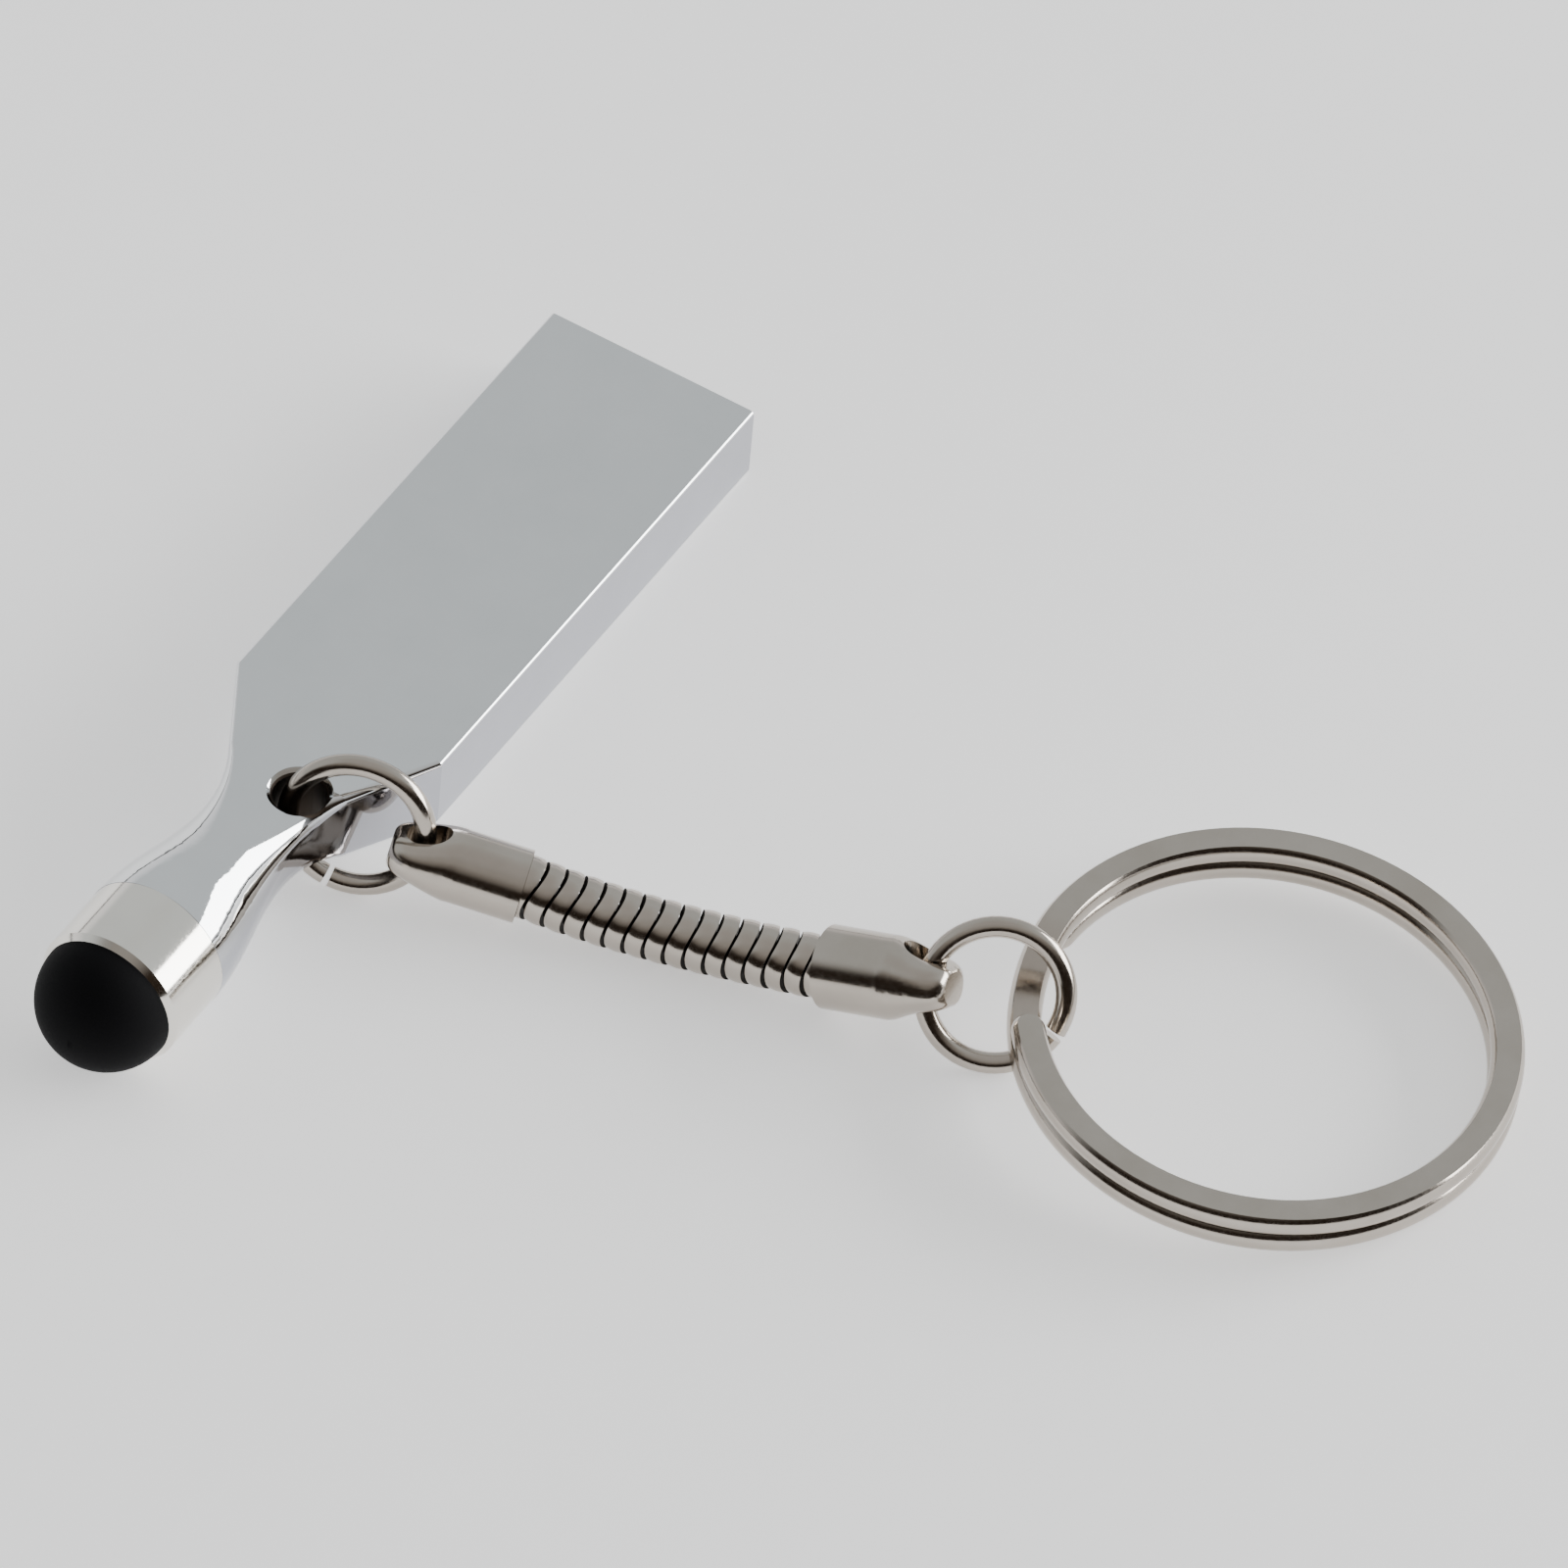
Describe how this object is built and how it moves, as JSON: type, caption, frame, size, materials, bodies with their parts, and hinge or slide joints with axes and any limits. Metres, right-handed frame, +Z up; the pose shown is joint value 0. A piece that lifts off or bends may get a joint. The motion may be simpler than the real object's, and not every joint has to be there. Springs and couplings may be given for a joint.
{
  "type": "usb flash drive",
  "caption": "Flat polished metal USB flash drive with a waisted round neck, rubber stylus tip, and a jointed snake chain with split key ring",
  "frame": {"origin": "middle of the footprint of the whole assembly, on the surface it lies on", "axes": "+X from the stylus tip toward the USB mouth, +Y from the key ring toward the drive, +Z up"},
  "size_m": [0.0548, 0.0674, 0.008],
  "materials": {
    "polished_metal": "mirror-polished cast metal",
    "satin_nickel": "softly polished nickel",
    "nickel": "polished nickel plate",
    "black_rubber": "matte soft rubber",
    "carrier_plastic": "moulded plastic",
    "module_black": "moulded epoxy",
    "contact_gold": "gold plate"
  },
  "bodies": {
    "drive": {"housing": "polished_metal", "stylus_ferrule": "satin_nickel", "stylus_tip": "black_rubber", "module_carrier": "carrier_plastic", "memory_module": "module_black", "contact_power": "contact_gold", "contact_data_minus": "contact_gold", "contact_data_plus": "contact_gold", "contact_ground": "contact_gold"},
    "first_ring": {"neck_ring": "nickel"},
    "first_cap": {"chain_cap_1": "nickel"},
    "link_01": {"chain_link_01": "nickel"},
    "link_02": {"chain_link_02": "nickel"},
    "link_03": {"chain_link_03": "nickel"},
    "link_04": {"chain_link_04": "nickel"},
    "link_05": {"chain_link_05": "nickel"},
    "link_06": {"chain_link_06": "nickel"},
    "link_07": {"chain_link_07": "nickel"},
    "link_08": {"chain_link_08": "nickel"},
    "link_09": {"chain_link_09": "nickel"},
    "link_10": {"chain_link_10": "nickel"},
    "link_11": {"chain_link_11": "nickel"},
    "link_12": {"chain_link_12": "nickel"},
    "link_13": {"chain_link_13": "nickel"},
    "link_14": {"chain_link_14": "nickel"},
    "link_15": {"chain_link_15": "nickel"},
    "link_16": {"chain_link_16": "nickel"},
    "last_cap": {"chain_cap_2": "nickel"},
    "second_ring": {"end_ring": "nickel"},
    "keys": {"key_ring": "nickel"}
  },
  "joints": [
    {"name": "neck_ring_turn", "type": "hinge", "parent": "drive", "child": "first_ring", "pos_m": [-0.00695, 0.0236, 0.00398], "axis": [0.9131, 0.315, -0.259], "range_deg": [-50, 45]},
    {"name": "first_cap_swing", "type": "hinge", "parent": "first_ring", "child": "first_cap", "pos_m": [-0.00607, 0.0203, 0.00304], "axis": [0.3253, -0.1794, 0.9285], "range_deg": [-40, 40]},
    {"name": "chain_sway_01", "type": "hinge", "parent": "first_cap", "child": "link_01", "pos_m": [-0.00446, 0.01557, 0.00233], "axis": [0.0291, -0.1355, 0.9903], "range_deg": [-4, 4]},
    {"name": "chain_lift_01", "type": "hinge", "parent": "link_01", "child": "link_02", "pos_m": [-0.0042, 0.01438, 0.00216], "axis": [-0.9748, -0.2231, 0], "range_deg": [-4, 4]},
    {"name": "chain_sway_02", "type": "hinge", "parent": "link_02", "child": "link_03", "pos_m": [-0.004, 0.01354, 0.00206], "axis": [0.0238, -0.099, 0.9948], "range_deg": [-4, 4]},
    {"name": "chain_lift_02", "type": "hinge", "parent": "link_03", "child": "link_04", "pos_m": [-0.00372, 0.01235, 0.00194], "axis": [-0.9699, -0.2435, 0], "range_deg": [-4, 4]},
    {"name": "chain_sway_03", "type": "hinge", "parent": "link_04", "child": "link_05", "pos_m": [-0.00351, 0.01151, 0.00186], "axis": [0.0163, -0.0628, 0.9979], "range_deg": [-4, 4]},
    {"name": "chain_lift_03", "type": "hinge", "parent": "link_05", "child": "link_06", "pos_m": [-0.0032, 0.01032, 0.00179], "axis": [-0.9666, -0.2564, 0], "range_deg": [-4, 4]},
    {"name": "chain_sway_04", "type": "hinge", "parent": "link_06", "child": "link_07", "pos_m": [-0.00297, 0.00948, 0.00175], "axis": [0.0072, -0.0269, 0.9996], "range_deg": [-4, 4]},
    {"name": "chain_lift_04", "type": "hinge", "parent": "link_07", "child": "link_08", "pos_m": [-0.00265, 0.00829, 0.00172], "axis": [-0.9651, -0.262, 0], "range_deg": [-4, 4]},
    {"name": "chain_sway_05", "type": "hinge", "parent": "link_08", "child": "link_09", "pos_m": [-0.00243, 0.00745, 0.00171], "axis": [-0.0024, 0.0089, 1], "range_deg": [-4, 4]},
    {"name": "chain_lift_05", "type": "hinge", "parent": "link_09", "child": "link_10", "pos_m": [-0.0021, 0.00626, 0.00172], "axis": [-0.9656, -0.2601, 0], "range_deg": [-4, 4]},
    {"name": "chain_sway_06", "type": "hinge", "parent": "link_10", "child": "link_11", "pos_m": [-0.00188, 0.00542, 0.00175], "axis": [-0.0119, 0.0448, 0.9989], "range_deg": [-4, 4]},
    {"name": "chain_lift_06", "type": "hinge", "parent": "link_11", "child": "link_12", "pos_m": [-0.00156, 0.00424, 0.00181], "axis": [-0.968, -0.2509, 0], "range_deg": [-4, 4]},
    {"name": "chain_sway_07", "type": "hinge", "parent": "link_12", "child": "link_13", "pos_m": [-0.00135, 0.0034, 0.00186], "axis": [-0.0203, 0.0808, 0.9965], "range_deg": [-4, 4]},
    {"name": "chain_lift_07", "type": "hinge", "parent": "link_13", "child": "link_14", "pos_m": [-0.00105, 0.00221, 0.00197], "axis": [-0.9722, -0.2342, 0], "range_deg": [-4, 4]},
    {"name": "chain_sway_08", "type": "hinge", "parent": "link_14", "child": "link_15", "pos_m": [-0.00085, 0.00137, 0.00206], "axis": [-0.0268, 0.1172, 0.9927], "range_deg": [-4, 4]},
    {"name": "chain_lift_08", "type": "hinge", "parent": "link_15", "child": "link_16", "pos_m": [-0.00058, 0.00018, 0.00221], "axis": [-0.9777, -0.21, 0], "range_deg": [-4, 4]},
    {"name": "chain_sway_09", "type": "hinge", "parent": "link_16", "child": "last_cap", "pos_m": [-0.0004, -0.00067, 0.00233], "axis": [-0.0291, 0.1355, 0.9903], "range_deg": [-4, 4]},
    {"name": "end_ring_swing", "type": "hinge", "parent": "last_cap", "child": "second_ring", "pos_m": [0.00016, -0.00549, 0.00396], "axis": [0.5277, 0.1639, 0.8335], "range_deg": [-35, 35]},
    {"name": "key_ring_swing", "type": "hinge", "parent": "second_ring", "child": "keys", "pos_m": [0.00179, -0.00862, 0.00354], "axis": [-0.715, -0.444, 0.54], "range_deg": [-60, 60]}
  ]
}
